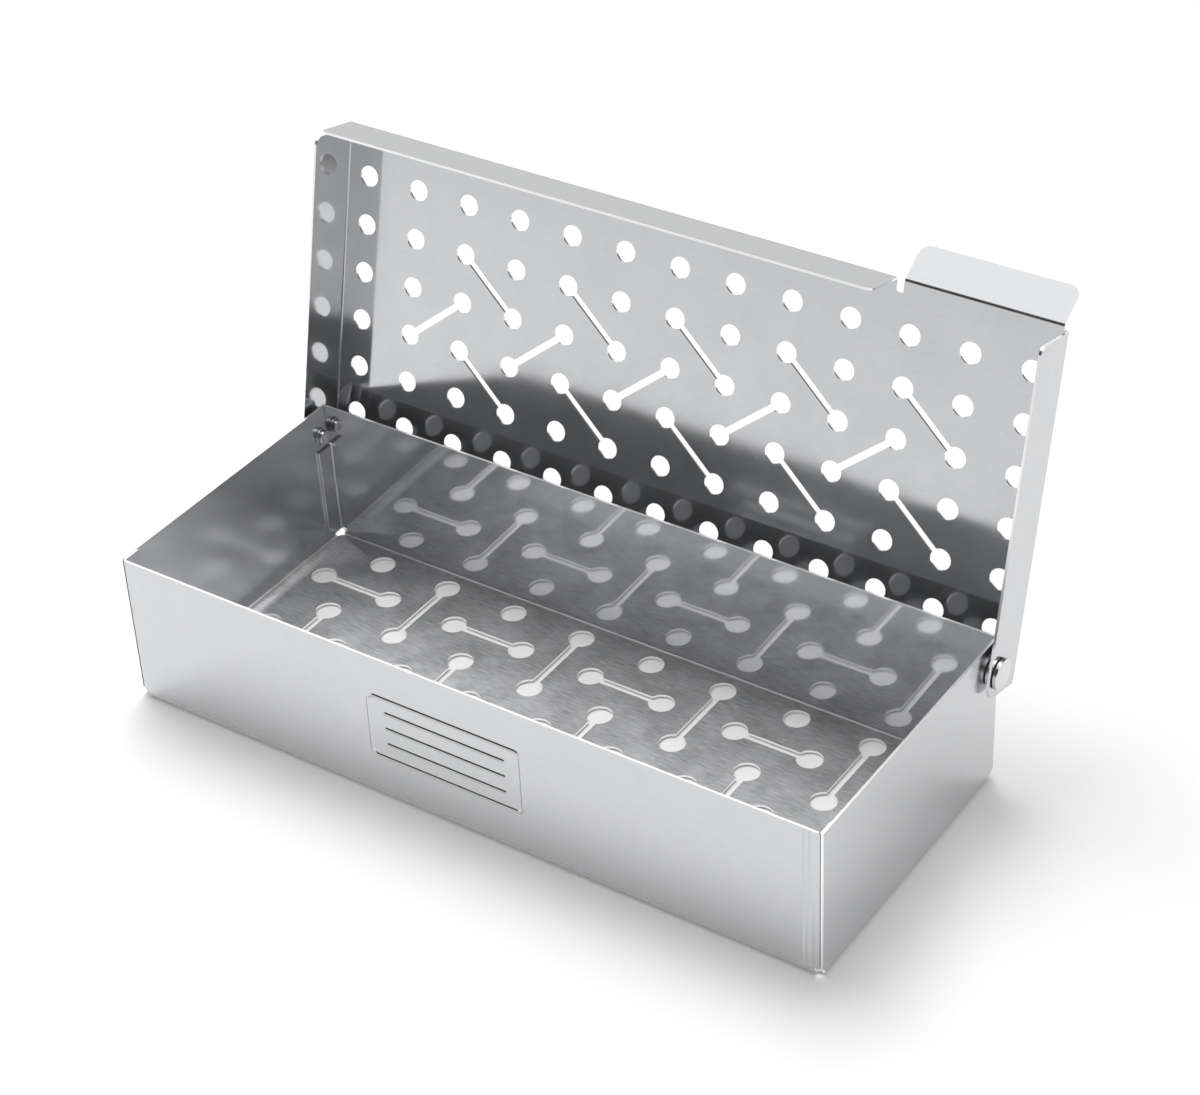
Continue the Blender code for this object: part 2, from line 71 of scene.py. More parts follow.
# The tray: one blank of thin brushed stainless, punched flat, then folded up on a press brake. Each long
# wall's ends turn in behind the end walls, where two spot welds hold each tab.
SHEET = 0.0008
BEND_RADIUS = 0.0010
BEND_STEPS = 12
QUARTER = BEND_RADIUS * pi / 2
FLAT_INSET = SHEET / 2 + BEND_RADIUS
BACK_LEAN = radians(1.3)
END_SETBACK = 0.0005
TAB_GAP = 0.0001
TAB_TRIM = 0.0011
TAB_REACH = 0.0070
TAB_FOOT = 0.0028
REAR_TAB_DROP = 0.0155
SLIT = 0.0008
SLIT_DEPTH = 0.0012
LONG_CORNER_RELIEF = 0.0027
SHORT_CORNER_RELIEF = 0.0020
HOLE_SIDES = 64

tray_corner = np.round(np.array(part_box("tray")[1]), 5)
half_length, half_width, tray_height = tray_corner
pivot = np.array(frame["joints"][0]["pos_m"])

floor_x = half_length - FLAT_INSET
floor_y = half_width - FLAT_INSET
wall_height = tray_height - FLAT_INSET
back_y = floor_y + wall_height * sin(BACK_LEAN)
long_foot = half_length - LONG_CORNER_RELIEF
short_foot = half_width - SHORT_CORNER_RELIEF
tab_face = half_length - SHEET - TAB_GAP
tab_fold = tab_face - FLAT_INSET
tab_end = tab_fold + QUARTER + TAB_REACH - FLAT_INSET
tab_foot = TAB_FOOT - FLAT_INSET
rear_tab_top = wall_height - REAR_TAB_DROP


def over_bend(distance, start, angle=pi / 2):
    """Carry lengths along the flat blank over one bend: straight up to start, then along an arc of the bend
    radius, then straight again. Gives how far on each point comes, how far it has risen and its turn."""
    turn = np.clip((distance - start) / BEND_RADIUS, 0, angle)
    rest = np.maximum(distance - start - BEND_RADIUS * angle, 0)
    on = np.minimum(distance, start) + BEND_RADIUS * np.sin(turn) + rest * np.cos(angle)
    up = BEND_RADIUS * (1 - np.cos(turn)) + rest * np.sin(angle)
    return on, up, turn


def long_wall(height):
    """How far from the blank's middle a height on the front wall lies, before the wall is folded up."""
    return floor_y + QUARTER + height


def back_wall(height):
    """The same for the back wall, which is bent a little past square."""
    return back_y + BEND_RADIUS * (pi / 2 + BACK_LEAN) + height


def end_wall(height):
    """The same for a height on an end wall."""
    return floor_x + QUARTER + height


def fold_tray(blank):
    """The places and inward normals of the blank's points once it is folded: the end walls turn up over the
    bends at each end, the long walls over the bends at front and back, and their tabs turn in once more."""
    u, v = blank.T
    side_u, side_v = np.sign(u), np.sign(v)
    flat = np.zeros(len(u))
    in_end = (np.abs(u) > floor_x) & (np.abs(v) < half_width + SHEET)
    on_end, up_end, turn_end = over_bend(np.abs(u), floor_x)
    on_long, up_long, turn_long = over_bend(np.abs(v), np.where(v > 0, back_y, floor_y),
                                            pi / 2 + np.where(v > 0, BACK_LEAN, 0))
    on_tab, in_tab, turn_tab = over_bend(np.abs(u), tab_fold)
    is_tab = (v < 0) | (v < back_wall(rear_tab_top + SLIT / 2))
    on_tab = np.where(is_tab, on_tab, np.abs(u))
    in_tab = np.where(is_tab, in_tab, flat)
    turn_tab = np.where(is_tab, turn_tab, flat)
    end_place = np.stack([side_u * on_end, v, up_end], 1)
    end_normal = np.stack([-side_u * np.sin(turn_end), flat, np.cos(turn_end)], 1)
    long_place = np.stack([side_u * on_tab, side_v * (on_long - in_tab * np.sin(turn_long)),
                           up_long + in_tab * np.cos(turn_long)], 1)
    long_normal = np.stack([-side_u * np.sin(turn_tab), -side_v * np.sin(turn_long) * np.cos(turn_tab),
                            np.cos(turn_long) * np.cos(turn_tab)], 1)
    place = np.where(in_end[:, None], end_place, long_place)
    normal = np.where(in_end[:, None], end_normal, long_normal)
    return place + [0, 0, SHEET / 2], normal


def arc(centre, radius, start, sweep, steps, closed=False):
    """Points along an arc: the centre plus the radius times the cosine and sine of evenly spaced turns."""
    turns = start + sweep * np.arange(steps if closed else steps + 1) / steps
    return np.array(centre) + radius * np.stack([np.cos(turns), np.sin(turns)], 1)


def hole_outline(first, second, hole, slot):
    """A round hole, or two of them joined by a slot: each circle runs round from one side of the slot's
    mouth to the other, and the mouth's half angle has the slot's width over the hole's as its sine."""
    if second is None:
        return arc(first, hole / 2, 0, 2 * pi, HOLE_SIDES, closed=True)
    mouth = asin(slot / hole)
    heading = np.arctan2(second[1] - first[1], second[0] - first[0])
    sweep = 2 * (pi - mouth)
    return np.concatenate([arc(first, hole / 2, heading + mouth, sweep, HOLE_SIDES),
                           arc(second, hole / 2, heading + pi + mouth, sweep, HOLE_SIDES)])


MERGE_DISTANCE = 1e-7


def cut_blank(outline, creases, holes, hole, slot, extra=()):
    """Triangulate the flat blank between its outline and its holes, with an edge along each crease and a
    corner at each extra point, and leave out the triangles whose middles lie in a hole or a slot."""
    loops = [outline] + [hole_outline(first, second, hole, slot) for first, second in holes]
    points, edges = [], []
    for loop in loops:
        here = sum(map(len, points)) + np.arange(len(loop))
        points.append(loop)
        edges.append(np.stack([here, np.roll(here, -1)], 1))
    start = sum(map(len, points))
    points += [np.reshape(creases, (-1, 2)), np.reshape(extra, (-1, 2))]
    edges.append(start + np.arange(2 * len(creases)).reshape(-1, 2))
    points, edges = np.concatenate(points), np.concatenate(edges)
    flat, _, triangles, *_ = delaunay_2d_cdt(points.tolist(), edges.tolist(), [], 1, MERGE_DISTANCE)
    flat, triangles = np.array(flat), np.array(triangles)
    middle = flat[triangles].mean(1)[:, None]
    first = np.array([a for a, _ in holes])[None]
    second = np.array([a if b is None else b for a, b in holes])[None]
    run = second - first
    share = ((middle - first) * run).sum(2) / np.maximum((run ** 2).sum(2), MERGE_DISTANCE ** 2)
    nearest = first + np.clip(share, 0, 1)[..., None] * run
    in_round = np.minimum(np.linalg.norm(middle - first, axis=2),
                          np.linalg.norm(middle - second, axis=2)) < hole / 2
    in_slot = np.linalg.norm(middle - nearest, axis=2) < slot / 2
    return flat, triangles[~(in_round | in_slot).any(1)]


SLOPE_STEP = 0.00002
SOFT_CORNER = cos(radians(35))


def sheet_piece(name, flat, triangles, fold, relief=None):
    """Fold a flat blank and give it the sheet's thickness: both faces lie half a sheet to either side of the
    folded middle, along its normals, and a strip of quads joins them along every edge that has one face.
    A relief is a height over the blank, which both faces follow and whose slopes tilt their normals."""
    middle, normal = fold(flat)
    shading = normal
    if relief:
        ahead, behind = flat + [SLOPE_STEP, 0], flat - [SLOPE_STEP, 0]
        above, below = flat + [0, SLOPE_STEP], flat - [0, SLOPE_STEP]
        slope_u = (relief(ahead) - relief(behind)) / (2 * SLOPE_STEP)
        slope_v = (relief(above) - relief(below)) / (2 * SLOPE_STEP)
        along_u = (fold(ahead)[0] - fold(behind)[0]) / (2 * SLOPE_STEP)
        along_v = (fold(above)[0] - fold(below)[0]) / (2 * SLOPE_STEP)
        middle = middle + normal * relief(flat)[:, None]
        shading = normal - slope_u[:, None] * along_u - slope_v[:, None] * along_v
        shading /= np.linalg.norm(shading, axis=1)[:, None]
    count = len(flat)
    places = np.concatenate([middle + normal * SHEET / 2, middle - normal * SHEET / 2])
    # the inside face's triangles run anticlockwise on the blank, the outside face's the other way
    span = flat[triangles]
    wound = np.cross(span[:, 1] - span[:, 0], span[:, 2] - span[:, 0]) > 0
    triangles = np.where(wound[:, None], triangles, triangles[:, ::-1])
    edges = np.concatenate([triangles[:, [0, 1]], triangles[:, [1, 2]], triangles[:, [2, 0]]])
    key = edges[:, 0] * count + edges[:, 1]
    twin = edges[:, 1] * count + edges[:, 0]
    rim = edges[~np.isin(key, twin)]
    start, end = rim.T
    quads = np.stack([end, start, start + count, end + count], 1)
    outward = np.cross(middle[end] - middle[start], normal[start] + normal[end])
    outward /= np.linalg.norm(outward, axis=1)[:, None]
    ends_at, starts_at = np.zeros(count, int), np.zeros(count, int)
    ends_at[end] = np.arange(len(rim))
    starts_at[start] = np.arange(len(rim))

    def blended(other):
        """Each strip's normal plus its neighbour's, where the corner between them is soft, at length one."""
        near = (outward * outward[other]).sum(1) > SOFT_CORNER
        total = outward + outward[other] * near[:, None]
        return total / np.linalg.norm(total, axis=1)[:, None]

    at_start, at_end = blended(ends_at[start]), blended(starts_at[end])
    rim_normals = np.stack([at_end, at_start, at_start, at_end], 1).reshape(-1, 3)
    far = triangles[:, ::-1]
    step_out = (flat[end] - flat[start]) @ [[0, -1], [1, 0]]
    step_out *= SHEET / np.linalg.norm(step_out, axis=1)[:, None]
    rim_flat = np.stack([flat[end], flat[start], flat[start] + step_out, flat[end] + step_out], 1)
    coordinates = np.concatenate([flat[triangles.ravel()], flat[far.ravel()], rim_flat.reshape(-1, 2)])
    normals = np.concatenate([shading[triangles.ravel()], -shading[far.ravel()], rim_normals])
    mesh = bpy.data.meshes.new(name)
    mesh.from_pydata(places, [], triangles.tolist() + (far + count).tolist() + quads.tolist())
    mesh.uv_layers.new(name="blank").uv.foreach_set("vector", coordinates.ravel())
    sheared = np.repeat([0.0, 1.0], [2 * len(triangles), len(quads)])
    mesh.attributes.new("sheared", "FLOAT", "FACE").data.foreach_set("value", sheared)
    mesh.polygons.foreach_set("use_smooth", np.ones(len(mesh.polygons), bool))
    mesh.normals_split_custom_set(normals)
    piece = bpy.data.objects.new(name, mesh)
    bpy.context.scene.collection.objects.link(piece)
    return piece


def node_maker(material):
    """Give a function that adds a node to the material, sets its sockets and links them."""
    tree = material.node_tree

    def add(kind, sockets=None, **settings):
        """Add a node of a kind, with its settings, and link or set each of its sockets."""
        node = tree.nodes.new(kind)
        for name, value in settings.items():
            setattr(node, name, value)
        for socket, value in (sockets or {}).items():
            if hasattr(value, "is_output"):
                tree.links.new(value, node.inputs[socket])
            else:
                node.inputs[socket].default_value = value
        return node

    return add


def ranged(add, value, low, high, at_low=0.0, at_high=1.0, shape="LINEAR"):
    """Carry a value to another range: at_low where it is low, at_high where it is high, held past both."""
    return add("ShaderNodeMapRange", {"Value": value, "From Min": low, "From Max": high, "To Min": at_low,
                                      "To Max": at_high}, interpolation_type=shape).outputs["Result"]


def combined(add, operation, *values, clamp=False):
    """The result of one arithmetic operation on one, two or three values, kept within 0 and 1 if clamped."""
    node = add("ShaderNodeMath", dict(enumerate(values)), operation=operation, use_clamp=clamp)
    return node.outputs["Value"]


NOISE_RANGE = (0.3, 0.7)
BOTH_NOISES_RANGE = (0.7, 1.3)
GRAIN_SCALE = (200, 2000, 1)
CLOUD_SCALE = 55.0
WAVE_SCALE = 30.0
WAVE_DEPTH = 0.00012
HAZE_SPREAD = 0.35
POLISH_SPREAD = 0.2
GROOVE_SPREAD = 0.06
TINT_SPREAD = 0.05
RUBBED_BORDER = 0.001
END_DULLNESS = 4.0
END_HAZE = 0.3
GROOVE_STRETCH = 0.4
ACROSS_GRAIN = 0.25


def brushed_steel(name, colour, sharp, broad, haze, rubbed_half, rubbed_haze, painted_edge_highlight, cut_roughness):
    """Cold-rolled stainless with a light brushed grain along the blank's u. Most of its surface is as smooth
    as a mirror, and the grain's fine grooves spread the rest of the light widely across the grain: one
    shader for each, mixed by short thin streaks and soft clouds. A middle part, rubbed_half to each side,
    has more haze, and the blank's ends past it have a duller mirror and less haze. A shallow waviness bends
    the reflections. The sheared edges are evenly smooth, and their near-white colour is a painted highlight
    along the rims."""
    material = bpy.data.materials.new(name)
    material.use_nodes = True
    add = node_maker(material)
    mirror = material.node_tree.nodes["Principled BSDF"]
    grooves = add("ShaderNodeBsdfPrincipled")
    link = material.node_tree.links.new

    # the grain's streaks along the blank, and the clouds and waves across the folded sheet
    place = add("ShaderNodeUVMap", uv_map="blank").outputs["UV"]
    around = add("ShaderNodeTexCoord").outputs["Object"]
    stretched = add("ShaderNodeMapping", {"Vector": place, "Scale": GRAIN_SCALE}).outputs["Vector"]
    grain = add("ShaderNodeTexNoise", {"Vector": stretched, "Scale": 1.0, "Detail": 3.0,
                                       "Roughness": 0.6}).outputs["Fac"]
    cloud = add("ShaderNodeTexNoise", {"Vector": around, "Scale": CLOUD_SCALE, "Detail": 4.0,
                                       "Roughness": 0.55}).outputs["Fac"]
    wave = add("ShaderNodeTexNoise", {"Vector": around, "Scale": WAVE_SCALE, "Detail": 0.0}).outputs["Fac"]

    # whether a place lies inside the rubbed part, along the blank and across it
    reach = add("ShaderNodeVectorMath", {0: place}, operation="ABSOLUTE").outputs["Vector"]
    reach = add("ShaderNodeSeparateXYZ", {"Vector": reach}).outputs
    within = [ranged(add, reach[axis], half - RUBBED_BORDER, half, 1.0, 0.0)
              for axis, half in zip("XY", rubbed_half)]
    rubbed = combined(add, "MULTIPLY", *within)

    # the share of the light that the grooves spread
    elsewhere = ranged(add, within[0], 0.0, 1.0, haze * END_HAZE, haze)
    haze_there = combined(add, "MULTIPLY_ADD", rubbed, rubbed_haze - haze, elsewhere)
    both = combined(add, "ADD", grain, cloud)
    share = ranged(add, both, *BOTH_NOISES_RANGE, 1 - HAZE_SPREAD, 1 + HAZE_SPREAD)
    share = combined(add, "MULTIPLY", share, haze_there, clamp=True)

    # the roughness of the mirror and of the grooves
    dull = ranged(add, within[0], 0.0, 1.0, END_DULLNESS, 1.0)
    polish = ranged(add, cloud, *NOISE_RANGE, sharp * (1 - POLISH_SPREAD), sharp * (1 + POLISH_SPREAD))
    smooth = combined(add, "MULTIPLY", polish, dull)
    rough = ranged(add, grain, *NOISE_RANGE, broad - GROOVE_SPREAD, broad + GROOVE_SPREAD)

    # the colour, whose mix takes colours in its sockets 6 and 7 and numbers in 2 and 3
    sheared = add("ShaderNodeAttribute", attribute_name="sheared").outputs["Fac"]
    darker = [part * (1 - TINT_SPREAD) for part in colour]
    lighter = [min(1, part * (1 + TINT_SPREAD)) for part in colour]
    tint = add("ShaderNodeMix", {0: grain, 6: (*darker, 1), 7: (*lighter, 1)}, data_type="RGBA").outputs[2]
    # the sheared edges take a near-white colour: a painted highlight along the rims
    shade = add("ShaderNodeMix", {0: sheared, 6: tint, 7: (*painted_edge_highlight, 1)}, data_type="RGBA").outputs[2]

    bump = add("ShaderNodeBump", {"Height": wave, "Strength": 1.0, "Distance": WAVE_DEPTH}).outputs["Normal"]
    along = add("ShaderNodeTangent", direction_type="UV_MAP", uv_map="blank").outputs["Tangent"]
    for shader, roughness in ((mirror, smooth), (grooves, rough)):
        edged = add("ShaderNodeMix", {0: sheared, 2: roughness, 3: cut_roughness}).outputs[0]
        link(edged, shader.inputs["Roughness"])
        link(shade, shader.inputs["Base Color"])
        link(bump, shader.inputs["Normal"])
        link(along, shader.inputs["Tangent"])
        shader.inputs["Metallic"].default_value = 1
        shader.inputs["Anisotropic"].default_value = GROOVE_STRETCH
        shader.inputs["Anisotropic Rotation"].default_value = ACROSS_GRAIN
    surface = add("ShaderNodeMixShader", {0: share, 1: mirror.outputs["BSDF"], 2: grooves.outputs["BSDF"]})
    link(surface.outputs["Shader"], material.node_tree.nodes["Material Output"].inputs["Surface"])
    return material


def mirrored(points):
    """The same points on the other side of the box's middle, in the opposite order."""
    return [(-u, v) for u, v in reversed(points)]


front_corner = [
    (end_wall(wall_height), END_SETBACK - half_width), (end_wall(tab_foot), END_SETBACK - half_width),
    (end_wall(0), -short_foot), (floor_x, -short_foot), (long_foot, -floor_y), (long_foot, -long_wall(0)),
    (tab_fold, -long_wall(tab_foot)), (tab_end, -long_wall(tab_foot))]
left_tab_top = [(tab_end, -long_wall(wall_height))]
right_tab_top = [
    (tab_end, -long_wall(wall_height - TAB_TRIM)), (tab_fold + QUARTER, -long_wall(wall_height - TAB_TRIM)),
    (tab_fold + QUARTER / 2, -long_wall(wall_height))]
back_corner = [
    (end_wall(wall_height), half_width), (end_wall(tab_foot), half_width), (end_wall(0), short_foot),
    (floor_x, short_foot), (long_foot, back_y), (long_foot, back_wall(0)), (tab_fold, back_wall(tab_foot)),
    (tab_end, back_wall(tab_foot)), (tab_end, back_wall(rear_tab_top)),
    (tab_fold - SLIT_DEPTH, back_wall(rear_tab_top)),
    (tab_fold - SLIT_DEPTH, back_wall(rear_tab_top + SLIT)),
    (tab_face, back_wall(rear_tab_top + SLIT)), (tab_face, back_wall(wall_height))]
tray_outline = np.array(front_corner + right_tab_top + mirrored(front_corner + left_tab_top)
                        + mirrored(back_corner)[::-1] + back_corner[::-1])

tray_creases = []
for share in np.arange(BEND_STEPS + 1) / BEND_STEPS:
    line = QUARTER * share
    back_line = back_y + BEND_RADIUS * (pi / 2 + BACK_LEAN) * share
    tray_creases += [
        [(-long_foot, -floor_y - line), (long_foot, -floor_y - line)],
        [(-long_foot, back_line), (long_foot, back_line)]]
    for side in (-1, 1):
        tab_top = wall_height - TAB_TRIM * max(0, 2 * share - 1) * (side > 0)
        end_line = side * (floor_x + line)
        tab_line = side * (tab_fold + line)
        tray_creases += [
            [(end_line, -short_foot), (end_line, short_foot)],
            [(tab_line, -long_wall(tab_foot)), (tab_line, -long_wall(tab_top))],
            [(tab_line, back_wall(tab_foot)), (tab_line, back_wall(rear_tab_top))]]

# The floor's pattern, punched before folding: holes in every other place of a grid, most of them joined
# in pairs by slots that run along and across by turns, like a basket weave
FLOOR_COLUMNS = 18
FLOOR_ROWS = 6
FLOOR_LEFT_MARGIN = 0.0116
FLOOR_RIGHT_MARGIN = 0.0102
FLOOR_BACK_MARGIN = 0.0077
FLOOR_FRONT_MARGIN = 0.0202
FLOOR_HOLE = 0.0086
FLOOR_SLOT = 0.0027

column_x = np.linspace(FLOOR_LEFT_MARGIN - half_length, half_length - FLOOR_RIGHT_MARGIN, FLOOR_COLUMNS)
row_y = np.linspace(half_width - FLOOR_BACK_MARGIN, FLOOR_FRONT_MARGIN - half_width, FLOOR_ROWS)
floor_holes = []
joined = set()
for row in range(FLOOR_ROWS):
    for column in range(1 - row % 2, FLOOR_COLUMNS, 2):
        crosswise = row % 2 == 0 and (column + row) % 4 == 3
        lengthwise = row % 4 == 1 and column % 4 == 0
        partner = (column + 2 * lengthwise, row + 2 * crosswise)
        if (column, row) in joined:
            continue
        paired = partner != (column, row) and partner[0] < FLOOR_COLUMNS and partner[1] < FLOOR_ROWS
        if paired:
            joined.add(partner)
        floor_holes.append(((column_x[column], row_y[row]),
                            (column_x[partner[0]], row_y[partner[1]]) if paired else None))

# The raised frame on the front wall, with three plain ribs: beads pressed outwards from behind into the
# flat blank. The same wall has two faint press lines at each end, beside the bends of its tabs.
PLATE_MIDDLE = (-0.0028, 0.0273)
PLATE_HALF = np.array([0.0280, 0.0118])
PLATE_CORNER = 0.0024
BEAD_HALF_WIDTH = 0.00085
BEAD_RISE = 0.00040
RIBS = 3
RIB_MARGIN = 0.0065
PRESS_LINES = (0.0041, 0.0059)
PRESS_LINE_WIDTH = 0.0008
PRESS_LINE_DEPTH = 0.000008
PRESS_LINE_FOOT = 0.001
PRESS_LINE_DROP = 0.0005
PRESS_LINE_STEPS = 7
BEAD_GRID = 0.00021
BEAD_GRID_MARGIN = 0.001
BEAD_GRID_REACH = 1.25 * BEAD_HALF_WIDTH

plate_middle = np.array([PLATE_MIDDLE[0], -long_wall(PLATE_MIDDLE[1] - FLAT_INSET)])
press_foot = long_wall(PRESS_LINE_FOOT)
press_top = long_wall(wall_height - PRESS_LINE_DROP)


def plate_distance(blank):
    """How far each point of the blank is from the frame's middle line, a rectangle with round corners, or
    from the nearest rib's, a straight line."""
    place = blank - plate_middle
    half = PLATE_HALF - BEAD_HALF_WIDTH / 2
    past = np.abs(place) - (half - PLATE_CORNER)
    outside = np.linalg.norm(np.maximum(past, 0), axis=1)
    distance = np.abs(outside + np.minimum(past.max(1), 0) - PLATE_CORNER)
    for count in range(RIBS):
        height = 2 * PLATE_HALF[1] * ((count + 1) / (RIBS + 1) - 0.5)
        reach = np.maximum(np.abs(place[:, 0]) - (PLATE_HALF[0] - RIB_MARGIN), 0)
        distance = np.minimum(distance, np.hypot(reach, place[:, 1] - height))
    return distance


def tray_relief(blank):
    """Heights over the blank, inwards: the beads stand out by a squared cosine of the distance across them,
    and faint press lines run up each end of the front wall."""
    bead = np.clip(plate_distance(blank) / BEAD_HALF_WIDTH, 0, 1)
    height = -BEAD_RISE * np.cos(bead * pi / 2) ** 2
    on_front = (blank[:, 1] < -press_foot) & (blank[:, 1] > -press_top)
    for inset in PRESS_LINES:
        across = np.clip(np.abs(np.abs(blank[:, 0]) - (half_length - inset)) / PRESS_LINE_WIDTH, 0, 1)
        height = height + on_front * PRESS_LINE_DEPTH * np.cos(across * pi / 2) ** 2
    return height


counts = np.ceil((PLATE_HALF + BEAD_GRID_MARGIN) / BEAD_GRID).astype(int)
across_plate = np.stack(np.meshgrid(*[np.arange(-n, n + 1) * BEAD_GRID for n in counts]), -1)
bead_points = across_plate.reshape(-1, 2) + plate_middle
bead_points = bead_points[plate_distance(bead_points) < BEAD_GRID_REACH]

for inset in PRESS_LINES:
    for line in np.linspace(-1, 1, PRESS_LINE_STEPS) * PRESS_LINE_WIDTH:
        for side in (-1, 1):
            x = side * (half_length - inset + line)
            tray_creases.append([(x, -press_foot), (x, -press_top)])

tray_flat, tray_triangles = cut_blank(tray_outline, tray_creases, floor_holes, FLOOR_HOLE, FLOOR_SLOT,
                                      bead_points)
tray_sheet = sheet_piece("tray_sheet", tray_flat, tray_triangles, fold_tray, tray_relief)
# the sheared edges' near-white colour is a painted highlight along the rims
SHEET_LOOK = {"broad": 0.50, "rubbed_haze": 0.80, "painted_edge_highlight": (0.97, 0.97, 0.98), "cut_roughness": 0.25}
rubbed_half = (floor_x + QUARTER, floor_y + 2 * QUARTER)
tray_sheet.data.materials.append(brushed_steel("tray_stainless", (0.655, 0.66, 0.67), sharp=0.055, haze=0.15,
                                               rubbed_half=rubbed_half, **SHEET_LOOK))
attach(tray_sheet, "tray")
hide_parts("tray")

# The lid: a second blank of the same sheet, punched with round holes and slanted slots, with its front
# flange, lift tab, side flanges and short rear stop folded. The rear ends of its side flanges are the ears.
OPEN_LEAN = radians(12.96)
LID_SIDE_GAP = 0.0018
LID_FRONT_GAP = 0.0065
LID_REAR_GAP = 0.0026
LID_TOP_GAP = 0.0021
EAR_DROP = 0.0058
EAR_FRONT_GAP = 0.0020
EAR_FRONT_CORNER = 0.0025
EAR_REAR_CORNER = 0.0050
FRONT_FLANGE = 0.0168
FLANGE_RIGHT_CORNER = 0.0030
FLANGE_LEFT_CORNER = 0.0012
FLANGE_INSET = 0.0007
REAR_FLANGE_INSET = 0.0020
BEND_RELIEF = 0.0006
CLEARANCE = 0.0003
TAB_WIDTH = 0.0509
TAB_LENGTH = 0.01299
TAB_INSET = 0.0017
TAB_SETBACK = 0.0009
TAB_TILT = radians(45)
TAB_CORNER = 0.0035
NOTCH_WIDTH = 0.0023
NOTCH_DEPTH = 0.0046
LID_COLUMNS = 13
LID_ROWS = 6
LID_SIDE_MARGIN = 0.00915
LID_FRONT_MARGIN = 0.0165
LID_REAR_MARGIN = 0.0144
LID_HOLE = 0.0069
LID_SLOT = 0.0022

pivot_inset = half_width - pivot[1]
lid_half = half_length + LID_SIDE_GAP + SHEET
lid_front = pivot[1] + half_width + LID_FRONT_GAP + SHEET
lid_rear = -(pivot_inset + LID_REAR_GAP + SHEET)
lid_rise = tray_height - pivot[2] + LID_TOP_GAP + SHEET / 2
side_fold = lid_half - FLAT_INSET
front_fold = lid_front - FLAT_INSET
rear_fold = lid_rear + FLAT_INSET
tab_right = lid_half - TAB_INSET
tab_left = tab_right - TAB_WIDTH
notch_left = tab_left - NOTCH_WIDTH
notch_bottom = lid_front - NOTCH_DEPTH
tab_bend = lid_front - TAB_SETBACK
ear_front = lid_front - EAR_FRONT_GAP
ear_start = rear_fold + BEND_RELIEF
rear_end = side_fold - REAR_FLANGE_INSET
flange_left = FLANGE_INSET - lid_half
stop_tip = (pivot_inset + CLEARANCE - lid_rear * sin(OPEN_LEAN)) / cos(OPEN_LEAN)


def swung_open(points):
    """Closed places or directions, as distances along the box, back and up, turned about the pivot's axis:
    the swing's cosine and sine mix back and up, and what lies along the box stays."""
    along, back, rise = points.T
    swing = -pi / 2 - OPEN_LEAN
    return np.stack([along, back * cos(swing) - rise * sin(swing), back * sin(swing) + rise * cos(swing)], 1)


def fold_lid(blank):
    """The places and inward normals of the lid's points, folded and open. Each folded part carries its
    points over its own bend, as distances along the box, forward of the pivot and down into the tray."""
    u, v = blank.T
    flat = np.zeros(len(u))
    side = np.sign(u)
    along, forward, down = u, v, flat
    normal = np.stack([flat, flat, flat + 1], 1)

    # the two side flanges
    inside = (np.abs(u) > side_fold) & (v < ear_front + SHEET / 4)
    on, up, turn = over_bend(np.abs(u), side_fold)
    along = np.where(inside, side * on, along)
    down = np.where(inside, up, down)
    bent = np.stack([-side * np.sin(turn), flat, np.cos(turn)], 1)
    normal = np.where(inside[:, None], bent, normal)

    # the front flange, the lift tab and the rear flange: which points, the distance, the bend, its angle,
    # whether they run forward or back, and whether they turn down into the tray or up
    parts = [
        ((u < notch_left + SHEET) & (v > front_fold), v, front_fold, pi / 2, 1, 1),
        ((u > notch_left + SHEET) & (v > tab_bend), v, tab_bend, TAB_TILT, 1, -1),
        ((v < rear_fold) & (np.abs(u) < side_fold), -v, -rear_fold, pi / 2, -1, 1)]
    for inside, distance, start, angle, ahead, inwards in parts:
        on, up, turn = over_bend(distance, start, angle)
        forward = np.where(inside, ahead * on, forward)
        down = np.where(inside, inwards * up, down)
        bent = np.stack([flat, -ahead * inwards * np.sin(turn), np.cos(turn)], 1)
        normal = np.where(inside[:, None], bent, normal)

    place = swung_open(np.stack([along, -forward, lid_rise - down], 1))
    facing = swung_open(normal * [1, -1, -1])
    return place + pivot, facing


def rounded(corner, before, after, radius):
    """The quarter circle that rounds an outline's square corner, from the side before to the side after."""
    corner, before, after = map(np.array, (corner, before, after))
    back = (before - corner) / np.linalg.norm(before - corner) * radius
    onward = (after - corner) / np.linalg.norm(after - corner) * radius
    turns = np.linspace(0, pi / 2, BEND_STEPS + 1)[:, None]
    return [tuple(p) for p in corner + back + onward - onward * np.cos(turns) - back * np.sin(turns)]


ear_root = side_fold + QUARTER
ear_edge = ear_root + lid_rise + EAR_DROP - BEND_RADIUS
right_ear = [
    (side_fold, ear_start), (ear_root, ear_start), (ear_root, lid_rear),
    *rounded((ear_edge, lid_rear), (ear_root, lid_rear), (ear_edge, ear_front), EAR_REAR_CORNER),
    *rounded((ear_edge, ear_front), (ear_edge, lid_rear), (ear_root, ear_front), EAR_FRONT_CORNER),
    (ear_root, ear_front), (side_fold, ear_front)]
tab_root = tab_bend + BEND_RADIUS * TAB_TILT
tab_tip = tab_root + TAB_LENGTH - BEND_RADIUS
lift_tab = [
    (tab_right, tab_bend), (tab_right, tab_root),
    *rounded((tab_right, tab_tip), (tab_right, tab_root), (tab_left, tab_tip), TAB_CORNER),
    *rounded((tab_left, tab_tip), (tab_right, tab_tip), (tab_left, tab_root), TAB_CORNER),
    (tab_left, tab_bend), (tab_left, notch_bottom), (notch_left, notch_bottom)]
flange_tip = front_fold + QUARTER + FRONT_FLANGE - FLAT_INSET - SHEET / 2
right_root, left_root = (notch_left, front_fold), (flange_left, front_fold)
right_tip, left_tip = (notch_left, flange_tip), (flange_left, flange_tip)
